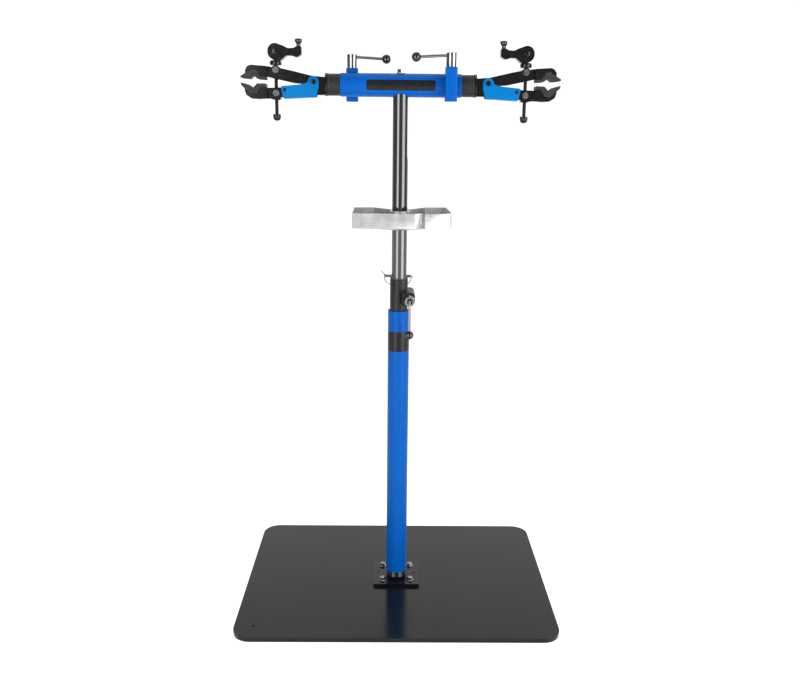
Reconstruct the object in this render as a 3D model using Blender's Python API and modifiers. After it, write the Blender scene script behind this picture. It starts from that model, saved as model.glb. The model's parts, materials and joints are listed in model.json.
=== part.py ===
"""Double-arm bike repair stand on a steel floor plate.

Metres, +Z up. The origin is under the middle of the floor plate, X runs along the crossbar
and -Y is the side that the user stands on.
"""
import math

import bmesh
import bpy
from mathutils import Matrix, Vector

# ---- driving dimensions -------------------------------------------------------------------
GAP = 0.0003                 # between solids that touch
SIDES = 28                   # facets round a large tube
ROUND_SIDES = 18             # facets round a barrel, washer or trunnion
SMALL_SIDES = 12             # facets round a pin or a bolt

PLATE = (0.8890, 0.6604, 0.0127)
PLATE_CORNER = 0.050
PLATE_HOLE = (-0.392, -0.274, 0.0035)

FLANGE_SIDE = 0.137
FLANGE_THICK = 0.0085
FLANGE_BOLT = (0.0410, 0.0425)
SPARE_HOLE_X = 0.0540

COLUMN_R = 0.0303
COLUMN_WALL = 0.0029
COLUMN_BOTTOM = 0.0360
COLUMN_TOP = 0.8400

COLLAR_R = 0.0249
COLLAR_TOP = 0.9280
BUSHING_R = 0.0230
MAST_R = 0.0210
MAST_WALL = 0.0030
MAST_BOTTOM = 0.4500
PIN_Z = 0.9355               # safety pin, resting on the bushing's flange
PIN_R = 0.0040
HOLE_PITCH = 0.0600          # between the mast's pin holes

LOCK_X = 0.0290              # height lock's axis, parallel to Y beside the mast
LOCK_Z = 0.8785
LOCK_HALF = 0.0440

ARM_Z = 1.4420               # crossbar axis
ARM_R = 0.0300
ARM_HALF = 0.1585
SHAFT_R = 0.0250             # clamp shaft inside the crossbar
BINDER_X = 0.1295            # binder axis, from the middle of the crossbar
BINDER_Y = 0.0380
BINDER_TOP = 0.0435          # above the crossbar axis
BINDER_BOTTOM = -0.0410

BARREL_R = 0.0140
BARREL_LENGTH = 0.0357
BARREL_PIVOT = 0.0295        # cross pin above the barrel's foot
ROD_R = 0.0040
BALL_R = 0.0122
ROD_DROOP = math.radians(3.2)

TRAY_FLOOR = 1.0765
TRAY_RIM = 1.1165
TRAY_SHEET = 0.0018
HUB_R = 0.0270

# Clamp, in its own frame: u outwards along the crossbar, w up from its axis.
JAW_PIVOT = (0.2290, 0.0060)
UPPER_TRUNNION = (0.3274, 0.0350)
LOWER_TRUNNION = (0.3274, -0.0230)
CAM_PIN = (0.3274, 0.0815)
TRUNNION_R = 0.0090
SPINDLE_R = 0.0050
ARM_THICK = 0.0260           # jaw arms, along Y
HEAD_THICK = 0.0400
COVER_THICK = 0.0440
CHANNEL_WALL = 0.0030


# ---- scene, collections and materials ------------------------------------------------------
for old in list(bpy.data.objects):
    bpy.data.objects.remove(old, do_unlink=True)

PARTS = bpy.data.collections.new("bike_repair_stand")
CUTTERS = bpy.data.collections.new("cutters")
bpy.context.scene.collection.children.link(PARTS)
bpy.context.scene.collection.children.link(CUTTERS)


def finish(name, colour, roughness, metallic):
    """A Principled material with one part's colour, roughness and metallic value."""
    material = bpy.data.materials.new(name)
    material.use_nodes = True
    shader = material.node_tree.nodes["Principled BSDF"]
    shader.inputs["Base Color"].default_value = (*colour, 1.0)
    shader.inputs["Roughness"].default_value = roughness
    shader.inputs["Metallic"].default_value = metallic
    return material


PLATE_BLACK = finish("plate_black", (0.020, 0.021, 0.023), 0.45, 0.0)
TUBE_BLACK = finish("tube_black", (0.010, 0.010, 0.011), 0.15, 0.0)
CAST_BLACK = finish("cast_black", (0.018, 0.018, 0.019), 0.40, 0.0)
BALL_BLACK = finish("ball_black", (0.010, 0.010, 0.010), 0.12, 0.0)
BLUE = finish("stand_blue", (0.015, 0.160, 0.620), 0.30, 0.0)
CHROME = finish("chrome", (0.800, 0.800, 0.810), 0.12, 1.0)
STEEL = finish("steel", (0.550, 0.550, 0.560), 0.35, 1.0)
SHEET = finish("tray_sheet", (0.780, 0.780, 0.780), 0.40, 1.0)
COVER_GREY = finish("cover_grey", (0.090, 0.095, 0.100), 0.70, 0.0)
SLEEVE_GREY = finish("sleeve_grey", (0.035, 0.036, 0.038), 0.55, 0.0)
NYLON = finish("nylon", (0.030, 0.030, 0.032), 0.60, 0.0)


# ---- shaping helpers -----------------------------------------------------------------------
def mesh_of(bm, name):
    mesh = bpy.data.meshes.new(name)
    bm.to_mesh(mesh)
    bm.free()
    return mesh


def baked(obj):
    """The mesh of an object with its modifiers, or of a curve, and the object is removed."""
    bpy.context.view_layer.update()
    evaluated = obj.evaluated_get(bpy.context.evaluated_depsgraph_get())
    mesh = bpy.data.meshes.new_from_object(evaluated)
    mesh.transform(obj.matrix_world)
    bpy.data.objects.remove(obj, do_unlink=True)
    bm = bmesh.new()
    bm.from_mesh(mesh)
    bmesh.ops.remove_doubles(bm, verts=bm.verts, dist=0.000001)
    bm.to_mesh(mesh)
    bm.free()
    return mesh


def staged(data, name="stage"):
    """A helper object among the cutters, never rendered."""
    obj = bpy.data.objects.new(name, data)
    obj.hide_render = True
    obj.display_type = "WIRE"
    CUTTERS.objects.link(obj)
    return obj


def combined(mesh, others, operation):
    """Join meshes to the first, or cut them out of it."""
    for other in others:
        body = staged(mesh)
        tool = staged(other)
        boolean = body.modifiers.new(operation.lower(), "BOOLEAN")
        boolean.operation = operation
        boolean.solver = "EXACT"
        boolean.object = tool
        mesh = baked(body)
        bpy.data.objects.remove(tool, do_unlink=True)
    return mesh


def cut(mesh, *tools):
    return combined(mesh, tools, "DIFFERENCE")


def joined(mesh, *others):
    return combined(mesh, others, "UNION")


def moved(mesh, offset):
    copy = mesh.copy()
    copy.transform(Matrix.Translation(offset))
    return copy


def block(low, high):
    """A box between two corners."""
    low = Vector(low)
    high = Vector(high)
    bm = bmesh.new()
    bmesh.ops.create_cube(bm, size=1.0)
    bmesh.ops.scale(bm, vec=high - low, verts=bm.verts)
    bmesh.ops.translate(bm, vec=(low + high) / 2, verts=bm.verts)
    return mesh_of(bm, "block")


def bar(radius, start, end, sides=SMALL_SIDES):
    """A round bar, or a hexagon with six sides, between two points."""
    start = Vector(start)
    end = Vector(end)
    along = end - start
    turn = along.to_track_quat("Z", "Y").to_matrix().to_4x4()
    bm = bmesh.new()
    bmesh.ops.create_cone(bm, cap_ends=True, segments=sides, radius1=radius, radius2=radius,
                          depth=along.length, matrix=Matrix.Translation((start + end) / 2) @ turn)
    return mesh_of(bm, "bar")


def turned(profile, sides=SIDES, ring=False):
    """A solid of revolution about Z from (radius, height) points that run down the outside."""
    mesh = bpy.data.meshes.new("turned")
    edges = [(i, i + 1) for i in range(len(profile) - 1)]
    if ring:
        edges.append((len(profile) - 1, 0))
    mesh.from_pydata([(r, 0.0, z) for r, z in profile], edges, [])
    obj = staged(mesh)
    screw = obj.modifiers.new("turn", "SCREW")
    screw.steps = sides
    screw.render_steps = sides
    screw.use_merge_vertices = True
    screw.merge_threshold = 0.00001
    mesh = baked(obj)
    bm = bmesh.new()
    bm.from_mesh(mesh)
    bmesh.ops.recalc_face_normals(bm, faces=bm.faces)
    bm.to_mesh(mesh)
    bm.free()
    return mesh


def tube(outer, inner, low, high, sides=SIDES):
    """A straight tube about Z."""
    return turned([(inner, high), (outer, high), (outer, low), (inner, low)], sides, ring=True)


def along_x(mesh):
    """Turns a shape made about Z so that its axis is X."""
    mesh.transform(Matrix.Rotation(math.pi / 2, 4, "Y"))
    return mesh


def rounded(corners, steps=3):
    """An outline from (x, y, radius) corners; a radius of 0 keeps the corner sharp."""
    points = []
    count = len(corners)
    for i, (x, y, radius) in enumerate(corners):
        here = Vector((x, y))
        back = (Vector(corners[i - 1][:2]) - here).normalized()
        on = (Vector(corners[(i + 1) % count][:2]) - here).normalized()
        half = back.angle(on) / 2
        if radius == 0 or half > math.radians(88):
            points.append((x, y))
            continue
        centre = here + (back + on).normalized() * radius / math.sin(half)
        start = here + back * radius / math.tan(half) - centre
        end = here + on * radius / math.tan(half) - centre
        sweep = start.angle_signed(end)
        for step in range(steps + 1):
            spoke = start.copy()
            spoke.rotate(Matrix.Rotation(-sweep * step / steps, 2))
            points.append(tuple(centre + spoke))
    return points


def circle(x, y, radius, sides=SMALL_SIDES):
    return [(x + radius * math.cos(2 * math.pi * i / sides),
             y + radius * math.sin(2 * math.pi * i / sides)) for i in range(sides)]


def slab(outline, thick, holes=()):
    """A flat outline with holes, from z 0 up to its thickness."""
    curve = bpy.data.curves.new("outline", "CURVE")
    curve.dimensions = "2D"
    curve.fill_mode = "BOTH"
    curve.extrude = thick / 2
    for loop in (outline, *holes):
        spline = curve.splines.new("POLY")
        spline.points.add(len(loop) - 1)
        for point, (x, y) in zip(spline.points, loop):
            point.co = (x, y, 0.0, 1.0)
        spline.use_cyclic_u = True
    obj = staged(curve)
    obj.location = (0.0, 0.0, thick / 2)
    return baked(obj)


def upright(outline, thick, holes=(), middle=0.0):
    """A flat outline in the X-Z plane, with its thickness along Y about the middle."""
    mesh = slab(outline, thick, holes)
    mesh.transform(Matrix.Translation((0.0, middle + thick / 2, 0.0)) @
                   Matrix.Rotation(math.pi / 2, 4, "X"))
    return mesh


def wire(points, radius):
    """A round wire along hand-picked points."""
    curve = bpy.data.curves.new("wire", "CURVE")
    curve.dimensions = "3D"
    curve.bevel_depth = radius
    curve.bevel_resolution = 2
    curve.use_fill_caps = True
    spline = curve.splines.new("POLY")
    spline.points.add(len(points) - 1)
    for point, place in zip(spline.points, points):
        point.co = (*place, 1.0)
    return baked(staged(curve))


def smooth_path(points, steps=3):
    """A Catmull-Rom curve through the points."""
    route = [Vector(p) for p in points]
    route = [route[0] * 2 - route[1], *route, route[-1] * 2 - route[-2]]
    path = []
    for a, b, c, d in zip(route, route[1:], route[2:], route[3:]):
        for step in range(steps):
            t = step / steps
            path.append((b * 2 + (c - a) * t + (a * 2 - b * 5 + c * 4 - d) * t ** 2 +
                         (b * 3 - a - c * 3 + d) * t ** 3) / 2)
    path.append(route[-2])
    return [tuple(p) for p in path]


def guide(name, location, parent=None, turn=None):
    """An empty on a joint's axis."""
    empty = bpy.data.objects.new(name, None)
    empty.parent = parent
    empty.location = location
    if turn:
        empty.rotation_euler = turn
    PARTS.objects.link(empty)
    return empty


def part(name, mesh, material, parent=None, location=(0.0, 0.0, 0.0)):
    """One named sub-part."""
    mesh.name = name
    mesh.materials.clear()
    mesh.materials.append(material)
    mesh.shade_smooth()
    mesh.set_sharp_from_angle(angle=math.radians(32))
    obj = bpy.data.objects.new(name, mesh)
    obj.parent = parent
    obj.location = location
    PARTS.objects.link(obj)
    return obj


# ---- floor plate, flange and column --------------------------------------------------------
def floor_plate():
    half_x = PLATE[0] / 2
    half_y = PLATE[1] / 2
    corners = [(sx * half_x, sy * half_y, PLATE_CORNER)
               for sx, sy in ((-1, -1), (1, -1), (1, 1), (-1, 1))]
    hole = circle(*PLATE_HOLE)
    plate = slab(rounded(corners, 7), PLATE[2], [hole])
    sockets = [bar(0.0052, (sx * FLANGE_BOLT[0], sy * FLANGE_BOLT[1], 0.004),
                   (sx * FLANGE_BOLT[0], sy * FLANGE_BOLT[1], 0.020))
               for sx in (-1, 1) for sy in (-1, 1)]
    return cut(plate, *sockets)


def flange():
    half = FLANGE_SIDE / 2
    corners = [(sx * half, sy * half, 0.006) for sx, sy in ((-1, -1), (1, -1), (1, 1), (-1, 1))]
    holes = [circle(sx * FLANGE_BOLT[0], sy * FLANGE_BOLT[1], 0.0052)
             for sx in (-1, 1) for sy in (-1, 1)]
    holes += [circle(sx * SPARE_HOLE_X, 0.0, 0.0036) for sx in (-1, 1)]
    return moved(slab(rounded(corners, 3), FLANGE_THICK, holes), (0.0, 0.0, PLATE[2] + GAP))


FLANGE_TOP = PLATE[2] + GAP + FLANGE_THICK


def flange_bolt():
    """Hexagon bolt with a flanged head, seated on z 0."""
    shank = bar(0.0048, (0, 0, 0.005 - FLANGE_TOP), (0, 0, 0.001))
    rim = bar(0.0100, (0, 0, GAP), (0, 0, 0.0022))
    head = bar(0.0086, (0, 0, 0.0020), (0, 0, 0.0085), 6)
    return joined(shank, rim, head)


def socket():
    foot = FLANGE_TOP + GAP
    inner = COLUMN_R - COLUMN_WALL - GAP
    return turned([(0.0220, 0.180), (inner, 0.180), (inner, foot + 0.006), (inner + 0.0045, foot),
                   (0.0220, foot)], ring=True)


def collar():
    spigot = COLUMN_R - COLUMN_WALL - GAP
    ring = turned([(0.0150, COLLAR_TOP), (COLLAR_R - 0.001, COLLAR_TOP), (COLLAR_R, COLLAR_TOP - 0.001),
                   (COLLAR_R, COLUMN_TOP), (spigot, COLUMN_TOP), (spigot, 0.775),
                   (0.0150, 0.775)], ring=True)
    low = LOCK_Z - 0.018
    high = LOCK_Z + 0.018
    boss = upright(rounded([(0.008, low, 0), (LOCK_X + 0.0155, low, 0.012),
                            (LOCK_X + 0.0155, high, 0.012), (0.008, high, 0)], 4), 2 * LOCK_HALF)
    bore = bar((BUSHING_R + GAP / 2) / math.cos(math.pi / SIDES), (0, 0, 0.7), (0, 0, 1.0), SIDES)
    bolt_hole = bar(0.0046, (LOCK_X, -0.06, LOCK_Z), (LOCK_X, 0.06, LOCK_Z))
    return cut(joined(ring, boss), bore, bolt_hole)


def lock_stud():
    """Draw stud through the collar's boss with a round nut at its back."""
    back = LOCK_HALF + GAP
    stud = bar(0.0042, (LOCK_X, -LOCK_HALF - 0.010, LOCK_Z), (LOCK_X, back + 0.004, LOCK_Z))
    nut = bar(0.0125, (LOCK_X, back, LOCK_Z), (LOCK_X, back + 0.011, LOCK_Z), ROUND_SIDES)
    return joined(stud, nut)


def bushing():
    low = 0.780
    rim = COLLAR_TOP + GAP
    bore = MAST_R + GAP
    return turned([(bore, rim + 0.0027), (0.0242, rim + 0.0027), (0.0242, rim), (BUSHING_R, rim),
                   (BUSHING_R, low), (bore, low)], ring=True)


# ---- mast and safety pin -------------------------------------------------------------------
def mast():
    post = tube(MAST_R, MAST_R - MAST_WALL, MAST_BOTTOM, ARM_Z)
    saddle = bar(ARM_R + GAP, (-0.06, 0, ARM_Z), (0.06, 0, ARM_Z), SIDES)
    holes = [bar(PIN_R + GAP, (-0.04, 0, PIN_Z + k * HOLE_PITCH), (0.04, 0, PIN_Z + k * HOLE_PITCH))
             for k in range(-2, 3)]
    return cut(post, saddle, *holes)


def plug():
    return turned([(0.0054, ARM_Z - 0.0315), (MAST_R - MAST_WALL - GAP, ARM_Z - 0.0315),
                   (MAST_R - MAST_WALL - GAP, ARM_Z - 0.085), (0.0054, ARM_Z - 0.085)], ring=True)


HEAD_X = -0.0405             # outer face of the safety pin's head


def safety_pin():
    shank = bar(PIN_R, (HEAD_X + 0.002, 0, PIN_Z), (0.0330, 0, PIN_Z))
    head = bar(0.0060, (HEAD_X, 0, PIN_Z), (HEAD_X + 0.0035, 0, PIN_Z))
    tip = bar(0.0034, (0.0325, 0, PIN_Z), (0.0345, 0, PIN_Z))
    return joined(shank, head, tip)


def safety_wire():
    """Spring wire from a finger tail beside the head, down round the back of the collar to the tip."""
    route = [(-0.0490, -0.0035, 0.9500), (-0.0450, 0.0020, 0.9450), (-0.0420, 0.0064, 0.9407),
             (-0.0410, 0.0092, 0.9349), (-0.0403, 0.010, 0.9260), (-0.0310, 0.021, 0.9120),
             (-0.0150, 0.031, 0.9040), (0.0000, 0.034, 0.9028), (0.0150, 0.030, 0.9050),
             (0.0260, 0.020, 0.9120), (0.0320, 0.011, 0.9220), (0.0350, 0.0055, 0.9300),
             (0.0370, 0.001, 0.9360)]
    return wire(smooth_path(route, 2), 0.0015)


# ---- lever sets: slotted barrel, rod with its cross pin, and ball ---------------------------
def barrel():
    """Stands on z 0 with its slot towards +X."""
    body = turned([(0, BARREL_LENGTH), (BARREL_R - 0.001, BARREL_LENGTH),
                   (BARREL_R, BARREL_LENGTH - 0.001), (BARREL_R, 0.0), (0, 0.0)], ROUND_SIDES)
    socket_bore = bar(0.0082, (0, 0, BARREL_PIVOT - 0.0085), (0, 0, BARREL_LENGTH + 0.01), ROUND_SIDES)
    slot = block((0.0, -0.0044, BARREL_PIVOT - 0.0078), (0.03, 0.0044, BARREL_LENGTH + 0.01))
    cross = bar(0.0023, (0, -0.02, BARREL_PIVOT), (0, 0.02, BARREL_PIVOT))
    stud = bar(0.0046, (0, 0, -0.01), (0, 0, 0.0125))
    return cut(body, socket_bore, slot, cross, stud)


def lever_rod(reach):
    """Rod with a flat eye and the cross pin pressed in it; the reach is to the ball's centre."""
    tip = Vector((math.cos(ROD_DROOP), 0.0, -math.sin(ROD_DROOP)))
    eye = bar(0.0052, (0, -0.0040, 0), (0, 0.0040, 0))
    rod = bar(ROD_R, tip * 0.003, tip * (reach + 0.004))
    pin = bar(0.0020, (0, -0.0137, 0), (0, 0.0137, 0))
    return moved(joined(eye, rod, pin), (0, 0, BARREL_PIVOT))


def lever_ball(reach):
    tip = Vector((math.cos(ROD_DROOP), 0.0, -math.sin(ROD_DROOP)))
    bm = bmesh.new()
    bmesh.ops.create_uvsphere(bm, u_segments=14, v_segments=9, radius=BALL_R)
    bmesh.ops.rotate(bm, verts=bm.verts, matrix=Matrix.Rotation(math.pi / 2 + ROD_DROOP, 3, "Y"))
    bmesh.ops.translate(bm, verts=bm.verts, vec=tip * reach)
    hole = bar(ROD_R + GAP, tip * (reach - 0.03), tip * (reach + 0.0045))
    return moved(cut(mesh_of(bm, "ball"), hole), (0, 0, BARREL_PIVOT))


# ---- crossbar ------------------------------------------------------------------------------
def binder_tools(side):
    """The upright bore that a binder's cotters slide in, on the +X or the -X half."""
    x = side * BINDER_X
    y = -side * BINDER_Y
    return bar(0.0138, (x, y, -0.033), (x, y, 0.033), ROUND_SIDES)


def crossbar():
    bore = (SHAFT_R + GAP / 5) / math.cos(math.pi / SIDES)
    pipe = along_x(tube(ARM_R, bore, -ARM_HALF, ARM_HALF))
    bolt_hole = bar(0.0054, (0, 0, -0.05), (0, 0, 0.05))
    return cut(pipe, bolt_hole, binder_tools(1), binder_tools(-1))


def crossbar_bolt():
    shank = bar(0.0050, (0, 0, -0.070), (0, 0, ARM_R + 0.002))
    head = bar(0.0107, (0, 0, ARM_R + 0.0010), (0, 0, ARM_R + 0.0108), 6)
    return joined(shank, head)


def binder_boss():
    """Stands in front of the crossbar on its +X half."""
    half = 0.0155
    y = -BINDER_Y
    outline = rounded([(BINDER_X - half, y - 0.016, 0.004), (BINDER_X + half, y - 0.016, 0.004),
                       (BINDER_X + half, -0.004, 0), (BINDER_X - half, -0.004, 0)])
    body = moved(slab(outline, BINDER_TOP - BINDER_BOTTOM), (0, 0, BINDER_BOTTOM))
    saddle = bar(ARM_R + GAP, (0, 0, 0), (0.3, 0, 0), SIDES)
    above = block((0, -0.0225, 0.015), (0.3, 0.1, 0.1))
    below = block((0, -0.0225, -0.1), (0.3, 0.1, -0.015))
    stud = bar(0.0050, (BINDER_X, y, -0.1), (BINDER_X, y, 0.1))
    return cut(body, saddle, above, below, binder_tools(1), stud)


def binder_cotter():
    """Draw stud with two wedges that grip the clamp shaft from above and below."""
    y = -BINDER_Y
    stud = bar(0.0042, (BINDER_X, y, BINDER_BOTTOM + 0.001), (BINDER_X, y, BINDER_TOP + 0.010))
    wedges = [bar(0.0135, (BINDER_X, y, low), (BINDER_X, y, low + 0.0265), ROUND_SIDES)
              for low in (-0.0325, 0.006)]
    shaft = bar(SHAFT_R + GAP, (0, 0, 0), (0.3, 0, 0), SIDES)
    return cut(joined(stud, *wedges), shaft)


# ---- tray ----------------------------------------------------------------------------------
TRAY_PLAN = [(-0.099, -0.108), (0.040, -0.104), (0.058, -0.088), (0.066, -0.106), (0.131, -0.090),
             (0.138, -0.066), (0.134, 0.112), (0.072, 0.106), (0.026, 0.036), (-0.024, 0.033),
             (-0.072, 0.094), (-0.129, 0.088), (-0.126, -0.090)]


def shrunk(outline, distance):
    """A counter-clockwise outline moved inwards by the distance."""
    points = []
    for i, here in enumerate(outline):
        here = Vector(here)
        into = (here - Vector(outline[i - 1])).normalized()
        out = (Vector(outline[(i + 1) % len(outline)]) - here).normalized()
        left_in = Vector((-into.y, into.x))
        left_out = Vector((-out.y, out.x))
        middle = (left_in + left_out).normalized()
        points.append(tuple(here + middle * distance / middle.dot(left_in)))
    return points


def tray_pan():
    high = TRAY_RIM - TRAY_FLOOR
    hub_hole = circle(0, 0, (HUB_R + GAP) / math.cos(math.pi / SIDES), SIDES)
    pan = slab(TRAY_PLAN, high, [hub_hole])
    inside = moved(slab(shrunk(TRAY_PLAN, TRAY_SHEET), high), (0, 0, TRAY_SHEET))
    return moved(cut(pan, inside), (0, 0, TRAY_FLOOR))


def tray_hub():
    """Sleeve on the mast, with a set screw's hole and a shallow dish that carries the pan."""
    bore = MAST_R + GAP
    dish = TRAY_FLOOR - GAP
    sleeve = turned([(bore, TRAY_RIM - 0.001), (HUB_R, TRAY_RIM - 0.001), (HUB_R, dish),
                     (0.098, dish), (0.074, dish - 0.0065), (bore, dish - 0.0065)], ring=True)
    return cut(sleeve, bar(0.0033, (0, -0.04, 1.102), (0, 0, 1.102)))


# ---- clamp, in its own frame ---------------------------------------------------------------
UPPER_COVER = [(0.4175, 0.0143), (0.4175, 0.0182), (0.4008, 0.0282), (0.3887, 0.0375),
               (0.3770, 0.0347), (0.3658, 0.0173), (0.3527, 0.0172), (0.3527, 0.0102),
               (0.3739, 0.0118), (0.3837, 0.0212), (0.3953, 0.0120)]
LOWER_COVER = [(0.3533, 0.0005), (0.3533, -0.0085), (0.3655, -0.0090), (0.3765, -0.0255),
               (0.3890, -0.0285), (0.4012, -0.0185), (0.4165, -0.0042), (0.4169, 0.0023),
               (0.3984, -0.0025), (0.3864, -0.0117), (0.3748, 0.0000)]
UPPER_SEAT = [(0.4052, 0.0262, 0), (0.4008, 0.0285, 0), (0.3887, 0.0378, 0), (0.3768, 0.0350, 0),
              (0.3656, 0.0176, 0), (0.3500, 0.0175, 0)]
LOWER_SEAT = [(0.3500, -0.0104, 0), (0.3530, -0.0088, 0), (0.3653, -0.0093, 0),
              (0.3763, -0.0258, 0), (0.3890, -0.0288, 0), (0.4012, -0.0188, 0),
              (0.4076, -0.0128, 0)]


def spindle_slot(centre, half_width):
    """A straight-sided slot that the spindle tilts in."""
    u, w = centre
    return block((u - half_width, -0.0062, w - 0.05), (u + half_width, 0.0062, w + 0.05))


def trunnion_bore(centre):
    u, w = centre
    return bar(TRUNNION_R + GAP, (u, -0.05, w), (u, 0.05, w), ROUND_SIDES)


def upper_jaw():
    u, w = UPPER_TRUNNION
    lobe = [(u + 0.0113 * math.cos(math.radians(a)), w + 0.0113 * math.sin(math.radians(a)), 0)
            for a in range(30, 151, 15)]
    arm = [(0.1990, -0.0270, 0), (0.2240, -0.0270, 0.004), (0.2300, -0.0100, 0.008),
           (0.2575, 0.0005, 0.010), (0.2798, 0.0025, 0.020), (0.3150, 0.0099, 0),
           (0.3500, 0.0175, 0), (0.3550, 0.0440, 0), (0.3395, 0.0424, 0.002), *lobe,
           (0.3150, 0.0392, 0.002), (0.2880, 0.0338, 0.02), (0.2335, 0.0212, 0.03),
           (0.1990, 0.0182, 0)]
    head = [*reversed(UPPER_SEAT), (0.4052, 0.0335, 0.004), (0.4000, 0.0422, 0.004),
            (0.3910, 0.0462, 0.005), (0.3500, 0.0436, 0.002)]
    body = joined(upright(rounded(arm), ARM_THICK), upright(rounded(head), HEAD_THICK))
    pivot = bar(0.0053, (JAW_PIVOT[0], -0.05, JAW_PIVOT[1]), (JAW_PIVOT[0], 0.05, JAW_PIVOT[1]))
    return cut(body, trunnion_bore(UPPER_TRUNNION), spindle_slot(UPPER_TRUNNION, 0.0095), pivot)


def lower_jaw():
    """Casting inside the channel, drilled for the screw that holds the two together."""
    arm = [(0.2850, -0.0318, 0.003), (0.3080, -0.0334, 0), (0.3150, -0.0338, 0),
           (0.3150, -0.0392, 0.003), (0.3282, -0.0411, 0.006), (0.3425, -0.0372, 0.004),
           (0.3540, -0.0375, 0), (0.3540, -0.0120, 0), (0.3500, -0.0104, 0),
           (0.3155, -0.0090, 0), (0.2850, -0.0100, 0.003)]
    head = [(0.3500, -0.0372, 0.002), (0.3700, -0.0388, 0.01), (0.3899, -0.0378, 0.006),
            (0.4035, -0.0288, 0.005), (0.4076, -0.0170, 0.003), *reversed(LOWER_SEAT)]
    body = joined(upright(rounded(arm), ARM_THICK), upright(rounded(head), HEAD_THICK))
    u, w = CHANNEL_SCREW
    hole = bar(0.0033, (u, -0.05, w), (u, 0.05, w))
    return cut(body, trunnion_bore(LOWER_TRUNNION), spindle_slot(LOWER_TRUNNION, 0.0085), hole)


CHANNEL_SCREW = (0.3038, -0.0153)
CHANNEL_OUT = ARM_THICK / 2 + GAP + CHANNEL_WALL


def channel():
    """Folded sheet: two cheeks outside the jaw arms and a web under them."""
    u, w = JAW_PIVOT
    cheek = [(0.2218, -0.0322, 0.003), (0.3083, -0.0372, 0.004), (0.3138, -0.0056, 0.003),
             (0.2628, -0.0010, 0.02), (u + 0.0140, w - 0.0020, 0.006), (u + 0.0140, w + 0.0140, 0.0138),
             (u - 0.0140, w + 0.0140, 0.0138), (u - 0.0140, w - 0.0140, 0.008)]
    holes = [circle(u, w, 0.0053), circle(*CHANNEL_SCREW, 0.0033)]
    body = upright(rounded(cheek, 4), 2 * CHANNEL_OUT, holes)
    hollow = upright([(0.19, -0.05), (0.235, -0.05), (0.235, -0.0300), (0.33, -0.0355),
                      (0.33, 0.05), (0.19, 0.05)], ARM_THICK + 2 * GAP)
    return cut(body, hollow)


def bolt_through(centre, radius, head_radius, head_thick):
    """A bolt across the clamp with a hexagon at both ends."""
    u, w = centre
    face = CHANNEL_OUT + GAP
    shank = bar(radius, (u, -face - 0.001, w), (u, face + 0.001, w))
    heads = [bar(head_radius, (u, s * face, w), (u, s * (face + head_thick), w), 6) for s in (-1, 1)]
    return joined(shank, *heads)


def trunnion(centre):
    u, w = centre
    body = bar(TRUNNION_R, (u, -0.0132, w), (u, 0.0132, w), ROUND_SIDES)
    return cut(body, bar(SPINDLE_R + GAP, (u, 0, w - 0.05), (u, 0, w + 0.05)))


def spindle():
    """Screw with an eye and cross pin on top, and a cap pressed on its lower end."""
    u, w = CAM_PIN
    screw = turned([(0, w - 0.004), (SPINDLE_R, w - 0.004), (SPINDLE_R, -0.0760),
                    (0.0100, -0.0760), (0.0107, -0.0768), (0.0104, -0.0850), (0.0085, -0.0900),
                    (0.0045, -0.0930), (0, -0.0930)], ROUND_SIDES)
    eye = bar(0.0078, (u, -0.0047, w), (u, 0.0047, w), ROUND_SIDES)
    return joined(moved(screw, (u, 0, 0)), eye, cam_pin())


def thrust_washer():
    inner = SPINDLE_R + GAP
    seat = turned([(inner, 0.0587), (0.0130, 0.0587), (0.0156, 0.0560), (0.0156, 0.0500),
                   (0.0140, 0.0467), (inner, 0.0467)], ROUND_SIDES, ring=True)
    return moved(seat, (UPPER_TRUNNION[0], 0, 0))


def cam_lever():
    u, w = CAM_PIN
    cam = []
    for a in range(-90, 121, 15):
        radius = 0.0225 - 0.0030 * min(a + 90, 90) / 90
        cam.append((u + radius * math.cos(math.radians(a)), w + radius * math.sin(math.radians(a)), 0))
    arm = [(0.3060, 0.0945, 0.006), (0.2940, 0.0887, 0.010), (0.2800, 0.0892, 0.010),
           (0.2700, 0.0945, 0.003), (0.2590, 0.0935, 0.003), (0.2590, 0.0730, 0.007),
           (0.2718, 0.0662, 0.006), (0.2850, 0.0705, 0.010), (0.2990, 0.0702, 0.010),
           (0.3115, 0.0590, 0.004)]
    body = upright(rounded([*cam, *arm]), 0.0240)
    slot = block((u - 0.0089, -0.0051, 0.04), (u + 0.05, 0.0051, w + 0.0089))
    hole = bar(0.0043, (u, -0.02, w), (u, 0.02, w))
    return cut(body, slot, hole)


def cam_pin():
    u, w = CAM_PIN
    shank = bar(0.0040, (u, -0.0130, w), (u, 0.0130, w))
    heads = [bar(0.0075, (u, s * 0.0123, w), (u, s * 0.0140, w)) for s in (-1, 1)]
    return joined(shank, *heads)


def knob():
    foot = 0.0948
    stem = turned([(0, 0.1133), (0.0045, 0.1128), (0.0085, 0.1095), (0.0098, 0.1050),
                   (0.0085, 0.1010), (0.0055, 0.0990), (0.0055, foot), (0, foot)], ROUND_SIDES)
    return moved(stem, (0.2672, 0, 0))


def sleeve():
    """Cover over the clamp shaft, beside the crossbar's end."""
    inner = SHAFT_R + GAP
    ring = tube(0.0282, inner, ARM_HALF + GAP, 0.1914)
    return along_x(ring)


def clamp_shaft():
    """Hollow shaft with the flange that carries the clamp body."""
    inner = SHAFT_R - 0.003
    ring = turned([(inner, 0.1987), (0.0296, 0.1987), (0.0296, 0.1917), (SHAFT_R, 0.1917),
                   (SHAFT_R, 0.030), (inner, 0.030)], ring=True)
    return along_x(ring)


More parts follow.
